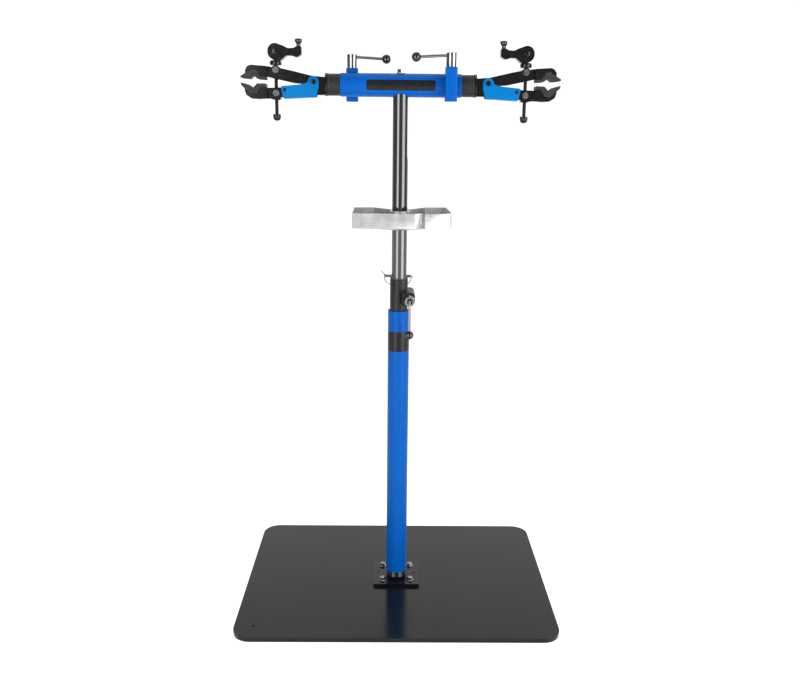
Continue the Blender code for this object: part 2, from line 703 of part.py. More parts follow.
# ---- assembly ------------------------------------------------------------------------------
part("base_plate", floor_plate(), PLATE_BLACK)
part("column_flange", flange(), CAST_BLACK)
for number, (sx, sy) in enumerate(((-1, -1), (1, -1), (1, 1), (-1, 1)), 1):
    part(f"flange_bolt_{number}", flange_bolt(), CHROME, None,
         (sx * FLANGE_BOLT[0], sy * FLANGE_BOLT[1], FLANGE_TOP))
part("column_socket", socket(), CAST_BLACK)
part("lower_column", tube(COLUMN_R, COLUMN_R - COLUMN_WALL, COLUMN_BOTTOM, COLUMN_TOP - GAP), BLUE)
part("column_collar", collar(), CAST_BLACK)
part("height_lock_stud", lock_stud(), STEEL)

SWIVEL = guide("mast_swivel_axis", (0, 0, COLLAR_TOP))
part("guide_bushing", bushing(), NYLON, SWIVEL, (0, 0, -COLLAR_TOP))
MAST = guide("mast_slide_axis", (0, 0, -COLLAR_TOP), SWIVEL)
part("mast_tube", mast(), TUBE_BLACK, MAST)
part("mast_plug", plug(), STEEL, MAST)
PIN = guide("safety_pin_axis", (0, 0, PIN_Z), MAST)
part("safety_pin", safety_pin(), STEEL, PIN, (0, 0, -PIN_Z))
part("safety_wire", safety_wire(), STEEL, PIN, (0, 0, -PIN_Z))

CROSS = guide("crossbar_centre", (0, 0, ARM_Z), MAST)
part("crossbar", crossbar(), BLUE, CROSS)
part("crossbar_bolt", crossbar_bolt(), CHROME, CROSS)

TRAY = guide("tray_axis", (0, 0, 0), MAST)
part("tray_hub", tray_hub(), SHEET, TRAY)
part("tray_pan", tray_pan(), SHEET, TRAY)


def lever_set(name, foot, reach):
    """Barrel, rod and ball on an empty that carries the barrel's foot."""
    pivot = guide(name + "_rod_axis", (0, 0, BARREL_PIVOT), foot)
    part(name + "_barrel", barrel(), CHROME, foot)
    part(name + "_rod", lever_rod(reach), CHROME, pivot, (0, 0, -BARREL_PIVOT))
    part(name + "_ball", lever_ball(reach), BALL_BLACK, pivot, (0, 0, -BARREL_PIVOT))


# The height lock's barrel lies along -Y with its rod hanging down.
lever_set("height_lock", guide("height_lock_axis", (LOCK_X, -LOCK_HALF - GAP, LOCK_Z), None,
                               (math.pi / 2, math.pi / 2, 0)), 0.0955)

BINDER_PARTS = [("binder_boss", binder_boss(), BLUE), ("binder_cotter", binder_cotter(), STEEL)]
CLAMP_PARTS = [("sleeve", sleeve(), SLEEVE_GREY), ("clamp_shaft", clamp_shaft(), TUBE_BLACK),
               ("upper_jaw", upper_jaw(), CAST_BLACK),
               ("upper_cover", upright(UPPER_COVER, COVER_THICK), COVER_GREY),
               ("pivot_bolt", bolt_through(JAW_PIVOT, 0.0050, 0.0068, 0.0042), STEEL)]
JAW_PARTS = [("channel", channel(), BLUE), ("lower_jaw", lower_jaw(), CAST_BLACK),
             ("lower_cover", upright(LOWER_COVER, COVER_THICK), COVER_GREY)]
UPPER_TRUNNION_PARTS = [("upper_trunnion", trunnion(UPPER_TRUNNION), STEEL)]
LOWER_TRUNNION_PARTS = [("lower_trunnion", trunnion(LOWER_TRUNNION), STEEL)]
SPINDLE_PARTS = [("spindle", spindle(), CAST_BLACK), ("thrust_washer", thrust_washer(), CAST_BLACK)]
LEVER_PARTS = [("cam_lever", cam_lever(), CAST_BLACK), ("knob", knob(), BALL_BLACK)]


def hung(side, pieces, empty, pivot):
    """Places pieces made in the clamp's frame under an empty at the pivot."""
    for name, mesh, material in pieces:
        part(f"{side}_{name}", mesh, material, empty, (-pivot[0], 0, -pivot[1]))


for side, turn in (("right", 0.0), ("left", math.pi)):
    half = guide(f"{side}_half", (0, 0, 0), CROSS, (0, 0, turn))
    hung(side, BINDER_PARTS, half, (0, 0))
    post = guide(f"{side}_binder_axis", (BINDER_X, -BINDER_Y, BINDER_TOP + GAP), half,
                 (0, 0, math.pi))
    lever_set(f"{side}_binder", post, 0.0910)
    clamp = guide(f"{side}_clamp_axis", (0, 0, 0), half)
    hung(side, CLAMP_PARTS, clamp, (0, 0))
    jaw = guide(f"{side}_jaw_axis", (JAW_PIVOT[0], 0, JAW_PIVOT[1]), clamp)
    hung(side, JAW_PARTS, jaw, JAW_PIVOT)
    upper = guide(f"{side}_upper_trunnion_axis", (UPPER_TRUNNION[0], 0, UPPER_TRUNNION[1]), clamp)
    hung(side, UPPER_TRUNNION_PARTS + SPINDLE_PARTS, upper, UPPER_TRUNNION)
    lower = guide(f"{side}_lower_trunnion_axis",
                  (LOWER_TRUNNION[0] - JAW_PIVOT[0], 0, LOWER_TRUNNION[1] - JAW_PIVOT[1]), jaw)
    hung(side, LOWER_TRUNNION_PARTS, lower, LOWER_TRUNNION)
    flip = guide(f"{side}_cam_axis",
                 (CAM_PIN[0] - UPPER_TRUNNION[0], 0, CAM_PIN[1] - UPPER_TRUNNION[1]), upper)
    hung(side, LEVER_PARTS, flip, CAM_PIN)
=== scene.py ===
import json
import math

import bmesh
import bpy
from mathutils import Euler, Matrix, Vector

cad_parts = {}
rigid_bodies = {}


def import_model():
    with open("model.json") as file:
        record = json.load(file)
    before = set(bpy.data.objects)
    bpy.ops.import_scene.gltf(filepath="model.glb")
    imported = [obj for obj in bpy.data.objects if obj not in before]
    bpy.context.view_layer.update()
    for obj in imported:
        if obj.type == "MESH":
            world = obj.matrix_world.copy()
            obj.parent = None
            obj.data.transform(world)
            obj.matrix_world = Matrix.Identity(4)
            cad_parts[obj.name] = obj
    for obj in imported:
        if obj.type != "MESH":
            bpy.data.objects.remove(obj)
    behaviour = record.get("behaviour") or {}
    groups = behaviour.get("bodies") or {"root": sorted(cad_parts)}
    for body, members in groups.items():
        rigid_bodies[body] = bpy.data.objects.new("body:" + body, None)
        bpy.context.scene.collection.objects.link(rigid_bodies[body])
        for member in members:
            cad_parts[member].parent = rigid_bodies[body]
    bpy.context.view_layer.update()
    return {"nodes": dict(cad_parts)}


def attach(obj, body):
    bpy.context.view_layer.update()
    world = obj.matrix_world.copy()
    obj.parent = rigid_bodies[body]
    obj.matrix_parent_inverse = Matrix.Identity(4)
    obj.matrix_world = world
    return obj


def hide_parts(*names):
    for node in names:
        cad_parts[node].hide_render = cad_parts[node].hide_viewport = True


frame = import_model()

NODES = frame["nodes"]

# Places on the stand, in metres.
COLUMN_R, COLUMN_LOW, COLUMN_HIGH = 0.0303, 0.0360, 0.8397
MAST_R = 0.0210
ARM_Z, ARM_R, ARM_HALF = 1.4420, 0.0300, 0.1585
PIN_Z, HOLE_PITCH = 0.9355, 0.0600
JAW_PIVOT = (0.2290, 0.0060)
UPPER_NUT = (0.3274, 0.0350)
LOWER_NUT = (0.3274, -0.0230)
CAM_PIN = (0.3274, 0.0815)
CHANNEL_SCREW = (0.3038, -0.0153)
ROD_DROOP = math.radians(3.2)
BARREL_PIVOT = 0.0295


# ---- finishes ------------------------------------------------------------------------------
class Finish:
    """A material under construction, with the record's slot that it belongs to."""

    def __init__(self, name, slot, roughness, metallic=0.0):
        self.slot = slot
        self.material = bpy.data.materials.new(name)
        self.material.use_nodes = True
        self.tree = self.material.node_tree
        self.shader = self.tree.nodes["Principled BSDF"]
        self.shader.inputs["Roughness"].default_value = roughness
        self.shader.inputs["Metallic"].default_value = metallic
        self.place = self.tree.nodes.new("ShaderNodeTexCoord").outputs["Object"]

    def set(self, **values):
        for name, value in values.items():
            self.shader.inputs[name.replace("_", " ")].default_value = value
        return self

    def noise(self, scale, detail=3.0, stretch=(1, 1, 1)):
        """Noise over the object's own coordinates, stretched along an axis if asked."""
        mapping = self.tree.nodes.new("ShaderNodeMapping")
        mapping.inputs["Scale"].default_value = stretch
        noise = self.tree.nodes.new("ShaderNodeTexNoise")
        noise.inputs["Scale"].default_value = scale
        noise.inputs["Detail"].default_value = detail
        self.tree.links.new(self.place, mapping.inputs["Vector"])
        self.tree.links.new(mapping.outputs["Vector"], noise.inputs["Vector"])
        return noise.outputs["Fac"]

    def shades(self, source, dark, light, low=0.35, high=0.65):
        """Base colour between two shades."""
        ramp = self.tree.nodes.new("ShaderNodeValToRGB")
        ramp.color_ramp.elements[0].position = low
        ramp.color_ramp.elements[0].color = (*dark, 1)
        ramp.color_ramp.elements[1].position = high
        ramp.color_ramp.elements[1].color = (*light, 1)
        self.tree.links.new(source, ramp.inputs["Fac"])
        self.tree.links.new(ramp.outputs["Color"], self.shader.inputs["Base Color"])
        return self

    def polish(self, source, low, high):
        """Roughness that wanders between two values."""
        spread = self.tree.nodes.new("ShaderNodeMapRange")
        spread.inputs["From Min"].default_value = 0.35
        spread.inputs["From Max"].default_value = 0.65
        spread.inputs["To Min"].default_value = low
        spread.inputs["To Max"].default_value = high
        self.tree.links.new(source, spread.inputs["Value"])
        self.tree.links.new(spread.outputs["Result"], self.shader.inputs["Roughness"])
        return self

    def texture(self, source, strength, distance):
        """Surface relief."""
        bump = self.tree.nodes.new("ShaderNodeBump")
        bump.inputs["Strength"].default_value = strength
        bump.inputs["Distance"].default_value = distance
        self.tree.links.new(source, bump.inputs["Height"])
        self.tree.links.new(bump.outputs["Normal"], self.shader.inputs["Normal"])
        return self


def shade(colour, factor):
    return tuple(channel * factor for channel in colour)


def powder_coat():
    """Black coat on the floor plate, glossy enough to mirror the column, with faint boot scuffs."""
    coat = Finish("powder_coat_black", "plate_black", 0.5)
    coat.set(Specular_IOR_Level=0.25)
    coat.shades(coat.noise(6.0, 6.0), (0.0030, 0.0032, 0.0034), (0.0050, 0.0052, 0.0055))
    coat.polish(coat.noise(9.0, 8.0), 0.15, 0.21)
    return coat.texture(coat.noise(700.0, 2.0), 0.03, 0.0001)


def stand_paint(name, blue):
    """Blue enamel with a faint orange peel."""
    paint = Finish(name, "stand_blue", 0.3)
    paint.set(Specular_IOR_Level=0.08)
    paint.shades(paint.noise(14.0, 4.0), shade(blue, 0.94), shade(blue, 1.06))
    paint.polish(paint.noise(30.0, 5.0), 0.28, 0.38)
    return paint.texture(paint.noise(420.0, 2.0), 0.06, 0.0002)


def mast_enamel():
    paint = Finish("mast_gloss_black", "tube_black", 0.1)
    paint.set(Specular_IOR_Level=0.8, IOR=1.6)
    paint.shades(paint.noise(10.0, 3.0), (0.0050, 0.0050, 0.0060), (0.0090, 0.0090, 0.0105))
    paint.polish(paint.noise(20.0, 4.0, (1, 1, 0.1)), 0.04, 0.08)
    return paint.texture(paint.noise(160.0, 2.0, (1, 1, 0.2)), 0.02, 0.0001)


def casting(name="casting_black", slot="cast_black", low=0.12, high=0.20):
    """Black enamel over a sand casting."""
    cast = Finish(name, slot, 0.3)
    cast.set(Specular_IOR_Level=0.30)
    cast.shades(cast.noise(60.0, 5.0), (0.0025, 0.0025, 0.0028), (0.0055, 0.0055, 0.0060))
    cast.polish(cast.noise(140.0, 4.0), low, high)
    return cast.texture(cast.noise(300.0, 2.0), 0.08, 0.0002)


def jaw_rubber():
    rubber = Finish("jaw_cover_rubber", "cover_grey", 0.6)
    rubber.set(Specular_IOR_Level=0.25)
    rubber.shades(rubber.noise(110.0, 6.0), (0.009, 0.009, 0.010), (0.020, 0.020, 0.021))
    rubber.polish(rubber.noise(80.0, 3.0), 0.48, 0.66)
    return rubber.texture(rubber.noise(700.0, 3.0), 0.20, 0.0003)


def sleeve_plastic():
    plastic = Finish("sleeve_plastic", "sleeve_grey", 0.5)
    plastic.set(Specular_IOR_Level=0.25)
    plastic.shades(plastic.noise(90.0, 4.0), (0.011, 0.012, 0.012), (0.018, 0.019, 0.019))
    plastic.polish(plastic.noise(60.0, 3.0), 0.42, 0.56)
    return plastic.texture(plastic.noise(800.0, 2.0), 0.25, 0.0003)


def bushing_nylon():
    nylon = Finish("bushing_nylon", "nylon", 0.5)
    nylon.shades(nylon.noise(70.0, 3.0), (0.022, 0.022, 0.024), (0.034, 0.034, 0.036))
    nylon.polish(nylon.noise(50.0, 3.0), 0.44, 0.58)
    return nylon.texture(nylon.noise(600.0, 2.0), 0.15, 0.0003)


def ball_gloss():
    plastic = Finish("handle_gloss_black", "ball_black", 0.1)
    plastic.set(Specular_IOR_Level=0.6)
    plastic.shades(plastic.noise(70.0, 2.0), (0.0040, 0.0040, 0.0042), (0.0070, 0.0070, 0.0075))
    plastic.polish(plastic.noise(45.0, 3.0), 0.06, 0.12)
    return plastic.texture(plastic.noise(120.0, 1.0), 0.04, 0.0002)


def chrome_plate():
    plate = Finish("chrome_plate", "chrome", 0.1, 1.0)
    plate.shades(plate.noise(40.0, 3.0), (0.22, 0.22, 0.23), (0.30, 0.30, 0.31))
    plate.polish(plate.noise(90.0, 4.0), 0.05, 0.09)
    return plate.texture(plate.noise(260.0, 2.0), 0.02, 0.0001)


def turned_steel():
    """Zinc-grey steel of pins, studs and nuts."""
    steel = Finish("turned_steel", "steel", 0.35, 1.0)
    steel.shades(steel.noise(120.0, 5.0), (0.08, 0.08, 0.085), (0.15, 0.15, 0.155))
    steel.polish(steel.noise(200.0, 4.0), 0.28, 0.45)
    return steel.texture(steel.noise(900.0, 2.0), 0.12, 0.0002)


def tray_metal():
    """Brushed sheet, with the brush lines running level round the walls."""
    sheet = Finish("tray_brushed_sheet", "tray_sheet", 0.35, 1.0)
    lines = sheet.noise(260.0, 5.0, (0.05, 0.05, 3.0))
    sheet.shades(lines, (0.42, 0.42, 0.42), (0.52, 0.52, 0.52))
    sheet.polish(sheet.noise(40.0, 5.0), 0.36, 0.46)
    return sheet.texture(lines, 0.06, 0.0002)


def print_finish(name, dark, light, roughness, slot):
    """Printed film on a label."""
    film = Finish(name, slot, roughness)
    film.set(Specular_IOR_Level=0.2)
    film.shades(film.noise(150.0, 3.0), dark, light)
    film.polish(film.noise(60.0, 2.0), roughness * 0.8, roughness * 1.2)
    return film.texture(film.noise(500.0, 1.0), 0.03, 0.0001)


POWDER = powder_coat()
BLUE = stand_paint("stand_blue_enamel", (0.0001, 0.0720, 0.3200))
CHANNEL_BLUE = stand_paint("channel_blue_enamel", (0.0001, 0.1150, 0.3300))
ENAMEL = mast_enamel()
CAST = casting()
SATIN_CAST = casting("collar_satin_black", "cast_black", 0.40, 0.55)
RUBBER = jaw_rubber()
SLEEVE = sleeve_plastic()
NYLON = bushing_nylon()
GLOSS = ball_gloss()
CHROME = chrome_plate()
STEEL = turned_steel()
SHEET = tray_metal()
LABEL = print_finish("label_black", (0.006, 0.006, 0.007), (0.010, 0.010, 0.011), 0.25, "tube_black")


# ---- shaping -------------------------------------------------------------------------------
def keep(bm, name, finish, body, nodes=(), bevel=0.0, segments=2, crease=38):
    """Makes a finished piece that rides on a body and stands for the nodes."""
    bmesh.ops.remove_doubles(bm, verts=bm.verts, dist=0.000002)
    mesh = bpy.data.meshes.new(name)
    bm.to_mesh(mesh)
    bm.free()
    mesh.materials.append(finish.material)
    mesh.shade_smooth()
    mesh.set_sharp_from_angle(angle=math.radians(crease))
    piece = bpy.data.objects.new(name, mesh)
    bpy.context.scene.collection.objects.link(piece)
    if bevel:
        edge = piece.modifiers.new("soft_edges", "BEVEL")
        edge.width = bevel
        edge.segments = segments
        edge.limit_method = "ANGLE"
        edge.angle_limit = math.radians(crease)
        edge.harden_normals = True
    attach(piece, body)
    if nodes:
        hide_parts(*nodes)
    return piece


def copied(node):
    """A merged copy of a CAD node, with its flat faces made whole."""
    bm = bmesh.new()
    bm.from_mesh(NODES[node].data)
    bmesh.ops.remove_doubles(bm, verts=bm.verts, dist=0.000005)
    bmesh.ops.dissolve_limit(bm, angle_limit=math.radians(0.6), verts=bm.verts, edges=bm.edges,
                             use_dissolve_boundaries=False)
    return bm


def spun(profile, steps=64, ring=False):
    """A turned shape about Z from (radius, height) points."""
    bm = bmesh.new()
    verts = [bm.verts.new((radius, 0, height)) for radius, height in profile]
    pairs = list(zip(verts, verts[1:]))
    if ring:
        pairs.append((verts[-1], verts[0]))
    edges = [bm.edges.new(pair) for pair in pairs]
    bmesh.ops.spin(bm, geom=verts + edges, cent=(0, 0, 0), axis=(0, 0, 1), angle=math.tau,
                   steps=steps, use_merge=True)
    bmesh.ops.remove_doubles(bm, verts=bm.verts, dist=0.000002)
    bmesh.ops.recalc_face_normals(bm, faces=bm.faces)
    return bm


def turn(bm, matrix):
    bmesh.ops.transform(bm, matrix=matrix, verts=bm.verts)
    return bm


TO_X = Matrix.Rotation(math.pi / 2, 4, "Y")
TO_Y = Matrix.Rotation(-math.pi / 2, 4, "X")
TO_FRONT = Matrix.Rotation(math.pi / 2, 4, "X")


def at(x, y, z):
    return Matrix.Translation((x, y, z))


def rod_between(start, end, radius, steps=32):
    """A round bar with domed edges."""
    start = Vector(start)
    along = Vector(end) - start
    ease = radius * 0.2
    bar = spun([(0, 0), (radius - ease, 0), (radius, ease), (radius, along.length - ease),
                (radius - ease, along.length), (0, along.length)], steps)
    return turn(bar, Matrix.Translation(start) @ along.to_track_quat("Z", "Y").to_matrix().to_4x4())


def block(low, high):
    low = Vector(low)
    high = Vector(high)
    bm = bmesh.new()
    bmesh.ops.create_cube(bm, size=1.0)
    bmesh.ops.scale(bm, vec=high - low, verts=bm.verts)
    bmesh.ops.translate(bm, vec=(low + high) / 2, verts=bm.verts)
    return bm


def hexagon(radius, low, high, ease=0.0007):
    """A hexagon head standing on a height, with its top edges eased."""
    bm = bmesh.new()
    bmesh.ops.create_cone(bm, cap_ends=True, segments=6, radius1=radius, radius2=radius,
                          depth=high - low, matrix=at(0, 0, (low + high) / 2))
    rim = [edge for edge in bm.edges if all(vert.co.z > high - 0.00001 for vert in edge.verts)]
    bmesh.ops.bevel(bm, geom=rim, offset=ease, affect="EDGES", segments=3, profile=0.5, material=-1)
    return bm


def merged(*parts):
    """Several shapes as one piece."""
    whole = bmesh.new()
    for bm in parts:
        mesh = bpy.data.meshes.new("part")
        bm.to_mesh(mesh)
        bm.free()
        whole.from_mesh(mesh)
        bpy.data.meshes.remove(mesh)
    return whole


def carved(body, *tools):
    """The body with the tools' shapes cut out."""
    scene = bpy.context.scene.collection.objects
    objects = []
    for bm in (body, *tools):
        mesh = bpy.data.meshes.new("carving")
        bm.to_mesh(mesh)
        bm.free()
        objects.append(bpy.data.objects.new("carving", mesh))
        scene.link(objects[-1])
    for tool in objects[1:]:
        boolean = objects[0].modifiers.new("cut", "BOOLEAN")
        boolean.object = tool
        boolean.solver = "EXACT"
    bpy.context.view_layer.update()
    result = bmesh.new()
    result.from_mesh(objects[0].evaluated_get(bpy.context.evaluated_depsgraph_get()).to_mesh())
    for obj in objects:
        bpy.data.objects.remove(obj, do_unlink=True)
    return result


def patch(width, height, corner, across=24, up=8):
    """A thin flat label in the X-Z plane, with round corners."""
    bm = bmesh.new()
    bmesh.ops.create_grid(bm, x_segments=across, y_segments=up, size=0.5)
    half = width / 2
    for vert in bm.verts:
        x = vert.co.x * width
        over = max(abs(x) - (half - corner), 0)
        tall = height / 2 - corner + math.sqrt(max(corner ** 2 - over ** 2, 0))
        vert.co = (x, 0, vert.co.y * 2 * tall)
    return bm


def wrapped(bm, radius, centre, round_post=False):
    """Lays a flat label on the front of the crossbar, or of the column."""
    for vert in bm.verts:
        x, z = vert.co.x, vert.co.z
        angle = (x if round_post else z) / radius
        if round_post:
            vert.co = (radius * math.sin(angle), -radius * math.cos(angle), z)
        else:
            vert.co = (x, -radius * math.cos(angle), radius * math.sin(angle))
    bmesh.ops.translate(bm, vec=centre, verts=bm.verts)
    bmesh.ops.solidify(bm, geom=bm.faces[:], thickness=0.00015)
    bmesh.ops.recalc_face_normals(bm, faces=bm.faces)
    return bm


# ---- floor plate, flange and column --------------------------------------------------------
def floor_plate():
    plate = keep(copied("base_plate"), "floor_plate", POWDER, "stand", ["base_plate"], 0.0014, 3)
    flat_top = plate.modifiers.new("flat_top", "WEIGHTED_NORMAL")
    flat_top.weight = 100
    flat_top.keep_sharp = True
    keep(copied("column_flange"), "flange_plate", CAST, "stand", ["column_flange"], 0.0009, 3)
    keep(copied("column_socket"), "flange_socket", CAST, "stand", ["column_socket"], 0.0006)


def flange_bolts():
    for number, (sx, sy) in enumerate(((-1, -1), (1, -1), (1, 1), (-1, 1)), 1):
        washer = spun([(0, 0.0003), (0.0098, 0.0003), (0.0100, 0.0008), (0.0094, 0.0018),
                       (0.0080, 0.0024), (0, 0.0024)], 48)
        head = turn(hexagon(0.0086, 0.0020, 0.0085, 0.0010), Matrix.Rotation(number * 0.7, 4, "Z"))
        ring = spun([(0.0028, 0.0084), (0.0058, 0.0084), (0.0058, 0.0088), (0.0052, 0.0091),
                     (0.0034, 0.0091), (0.0028, 0.0088)], 32, ring=True)
        shank = rod_between((0, 0, -0.0150), (0, 0, 0.0010), 0.0048)
        bolt = turn(merged(washer, head, ring, shank), at(sx * 0.0410, sy * 0.0425, 0.0215))
        keep(bolt, f"hex_bolt_{number}", CHROME, "stand", [f"flange_bolt_{number}"])


def column():
    ease = 0.0006
    wall = spun([(COLUMN_R - 0.0029, COLUMN_LOW), (COLUMN_R - ease, COLUMN_LOW),
                 (COLUMN_R, COLUMN_LOW + ease), (COLUMN_R, COLUMN_HIGH - ease),
                 (COLUMN_R - ease, COLUMN_HIGH), (COLUMN_R - 0.0029, COLUMN_HIGH)], 96, ring=True)
    keep(wall, "column_tube", BLUE, "stand", ["lower_column"])
    band = spun([(COLUMN_R, 0.7245), (COLUMN_R + 0.00025, 0.7247), (COLUMN_R + 0.00025, 0.7813),
                 (COLUMN_R, 0.7815)], 96)
    keep(band, "column_band", LABEL, "stand")


def collar():
    keep(copied("column_collar"), "collar_casting", SATIN_CAST, "stand", ["column_collar"], 0.0012, 3)
    nut = spun([(0.0046, 0.0003), (0.0118, 0.0003), (0.0125, 0.0010), (0.0125, 0.0098),
                (0.0115, 0.0112), (0.0046, 0.0112)], 48, ring=True)
    stud = rod_between((0, 0, -0.0970), (0, 0, 0.0042), 0.0042)
    back = at(0.029, 0.0440, 0.8785) @ TO_Y
    keep(turn(merged(nut, stud), back), "lock_stud_and_nut", STEEL, "stand", ["height_lock_stud"])
    guide = spun([(0.0213, 0.9310), (0.0236, 0.9310), (0.0242, 0.9304), (0.0242, 0.9284),
                  (0.0230, 0.9283), (0.0230, 0.7800), (0.0213, 0.7800)], 64, ring=True)
    keep(guide, "guide_sleeve", NYLON, "guide", ["guide_bushing"])


# ---- mast, pin and tray --------------------------------------------------------------------
def mast():
    tube = spun([(0.0180, 0.4500), (0.0206, 0.4500), (MAST_R, 0.4504), (MAST_R, 1.4350),
                 (0.0180, 1.4350)], 96, ring=True)
    saddle = rod_between((-0.06, 0, ARM_Z), (0.06, 0, ARM_Z), ARM_R + 0.0003, 96)
    holes = [rod_between((-0.04, 0, PIN_Z + k * HOLE_PITCH), (0.04, 0, PIN_Z + k * HOLE_PITCH), 0.0043)
             for k in range(-2, 3)]
    keep(carved(tube, saddle, *holes), "mast_post", ENAMEL, "mast", ["mast_tube"])


def safety_pin():
    shank = spun([(0, 0), (0.0045, 0), (0.0060, 0.0006), (0.0060, 0.0028), (0.0045, 0.0034),
                  (0.0040, 0.0036), (0.0040, 0.0720), (0.0032, 0.0730), (0.0026, 0.0738),
                  (0.0030, 0.0744), (0.0028, 0.0750), (0, 0.0750)], 32)
    keep(turn(shank, at(-0.0405, 0, PIN_Z) @ TO_X), "pin_shank", CHROME, "pin", ["safety_pin"])
    route = [(-0.0490, -0.0035, 0.9500), (-0.0450, 0.0020, 0.9450), (-0.0420, 0.0064, 0.9407),
             (-0.0410, 0.0092, 0.9349), (-0.0403, 0.010, 0.9260), (-0.0310, 0.021, 0.9120),
             (-0.0150, 0.031, 0.9040), (0.0000, 0.034, 0.9028), (0.0150, 0.030, 0.9050),
             (0.0260, 0.020, 0.9120), (0.0320, 0.011, 0.9220), (0.0350, 0.0055, 0.9300),
             (0.0370, 0.001, 0.9360)]
    curve = bpy.data.curves.new("pin_spring", "CURVE")
    curve.dimensions = "3D"
    curve.bevel_depth = 0.0013
    curve.bevel_resolution = 3
    curve.use_fill_caps = True
    spline = curve.splines.new("BEZIER")
    spline.bezier_points.add(len(route) - 1)
    for point, place in zip(spline.bezier_points, route):
        point.co = place
        point.handle_left_type = point.handle_right_type = "AUTO"
    staging = bpy.data.objects.new("pin_spring", curve)
    bpy.context.scene.collection.objects.link(staging)
    bpy.context.view_layer.update()
    bm = bmesh.new()
    bm.from_mesh(staging.evaluated_get(bpy.context.evaluated_depsgraph_get()).to_mesh())
    bpy.data.objects.remove(staging, do_unlink=True)
    keep(bm, "pin_spring_wire", CHROME, "pin_wire", ["safety_wire"])


def tray():
    keep(copied("tray_pan"), "tray_sheet_pan", SHEET, "tray", ["tray_pan"], 0.0006, 2)
    hub = spun([(0.0213, 1.1155), (0.0262, 1.1155), (0.0270, 1.1147), (0.0270, 1.0762),
                (0.0980, 1.0762), (0.0740, 1.0697), (0.0213, 1.0697)], 96, ring=True)
    hole = rod_between((0, -0.04, 1.102), (0, -0.01, 1.102), 0.0033)
    keep(carved(hub, hole), "tray_carrier_hub", SHEET, "tray_carrier", ["tray_hub"], 0.0005)
    screw = carved(rod_between((0, -0.0285, 1.102), (0, -0.0214, 1.102), 0.0030),
                   turn(hexagon(0.0017, -0.001, 0.0030, 0.0001), at(0, -0.0285, 1.102) @ TO_Y))
    keep(screw, "tray_set_screw", STEEL, "tray_carrier")


# ---- crossbar ------------------------------------------------------------------------------
def crossbar():
    ease = 0.0008
    pipe = spun([(0.0252, -ARM_HALF), (ARM_R - ease, -ARM_HALF), (ARM_R, ease - ARM_HALF),
                 (ARM_R, ARM_HALF - ease), (ARM_R - ease, ARM_HALF), (0.0252, ARM_HALF)], 96, ring=True)
    tools = [rod_between((s * 0.1295, -s * 0.038, ARM_Z - 0.033), (s * 0.1295, -s * 0.038, ARM_Z + 0.033),
                         0.0138) for s in (-1, 1)]
    keep(carved(turn(pipe, at(0, 0, ARM_Z) @ TO_X), *tools), "crossbar_tube", BLUE, "mast", ["crossbar"])

    washer = spun([(0, ARM_R + 0.0002), (0.0118, ARM_R + 0.0002), (0.0118, ARM_R + 0.0014),
                   (0, ARM_R + 0.0014)], 48)
    head = hexagon(0.0107, ARM_R + 0.0014, ARM_R + 0.0106, 0.0012)
    shank = rod_between((0, 0, -0.070), (0, 0, ARM_R + 0.002), 0.0050)
    keep(turn(merged(washer, head, shank), at(0, 0, ARM_Z)), "crossbar_hex_bolt", CHROME, "mast",
         ["crossbar_bolt"])

    plate = turn(patch(0.1800, 0.0276, 0.0040, 60, 12), at(0, 0, -0.0012))
    keep(wrapped(plate, ARM_R + 0.0003, (0, 0, ARM_Z)), "crossbar_label", LABEL, "mast")


# ---- lever sets ----------------------------------------------------------------------------
def lever_set(name, place, screw_body, handle_body, nodes, reach):
    """Chrome barrel with its slot, and a rod that ends in a ball."""
    body = spun([(0, 0.0357), (0.0125, 0.0357), (0.0140, 0.0345), (0.0140, 0.0050), (0.0136, 0.0046),
                 (0.0136, 0.0036), (0.0140, 0.0032), (0.0140, 0.0008), (0.0132, 0), (0, 0)], 72)
    bore = rod_between((0, 0, 0.0210), (0, 0, 0.0460), 0.0082, 48)
    slot = block((0, -0.0044, 0.0217), (0.03, 0.0044, 0.046))
    cross = rod_between((0, -0.02, BARREL_PIVOT), (0, 0.02, BARREL_PIVOT), 0.0023)
    stud = rod_between((0, 0, -0.01), (0, 0, 0.0125), 0.0046)
    keep(turn(carved(body, bore, slot, cross, stud), place), f"{name}_slotted_barrel", CHROME,
         screw_body, [nodes + "_barrel"], 0.0003)

    tip = Vector((math.cos(ROD_DROOP), 0, -math.sin(ROD_DROOP)))
    hub = Vector((0, 0, BARREL_PIVOT))
    eye = rod_between(hub - Vector((0, 0.004, 0)), hub + Vector((0, 0.004, 0)), 0.0052)
    rod = rod_between(hub + tip * 0.003, hub + tip * (reach + 0.002), 0.0039, 48)
    pin = rod_between(hub - Vector((0, 0.0137, 0)), hub + Vector((0, 0.0137, 0)), 0.0020)
    keep(turn(merged(eye, rod, pin), place), f"{name}_lever_rod", CHROME, handle_body,
         [nodes + "_rod"])

    radius = 0.0122
    profile = [(0, radius)]
    for step in range(1, 23):
        angle = math.pi / 2 - math.radians(7 * step)
        profile.append((radius * math.cos(angle), radius * math.sin(angle)))
    profile += [(0.0048, -0.0116), (0.0044, -0.0112), (0.0044, -0.004), (0, -0.004)]
    ball = turn(spun(profile, 64), Matrix.Translation(hub + tip * reach) @
                tip.to_track_quat("Z", "Y").to_matrix().to_4x4())
    keep(turn(ball, place), f"{name}_ball_handle", GLOSS, handle_body, [nodes + "_ball"])


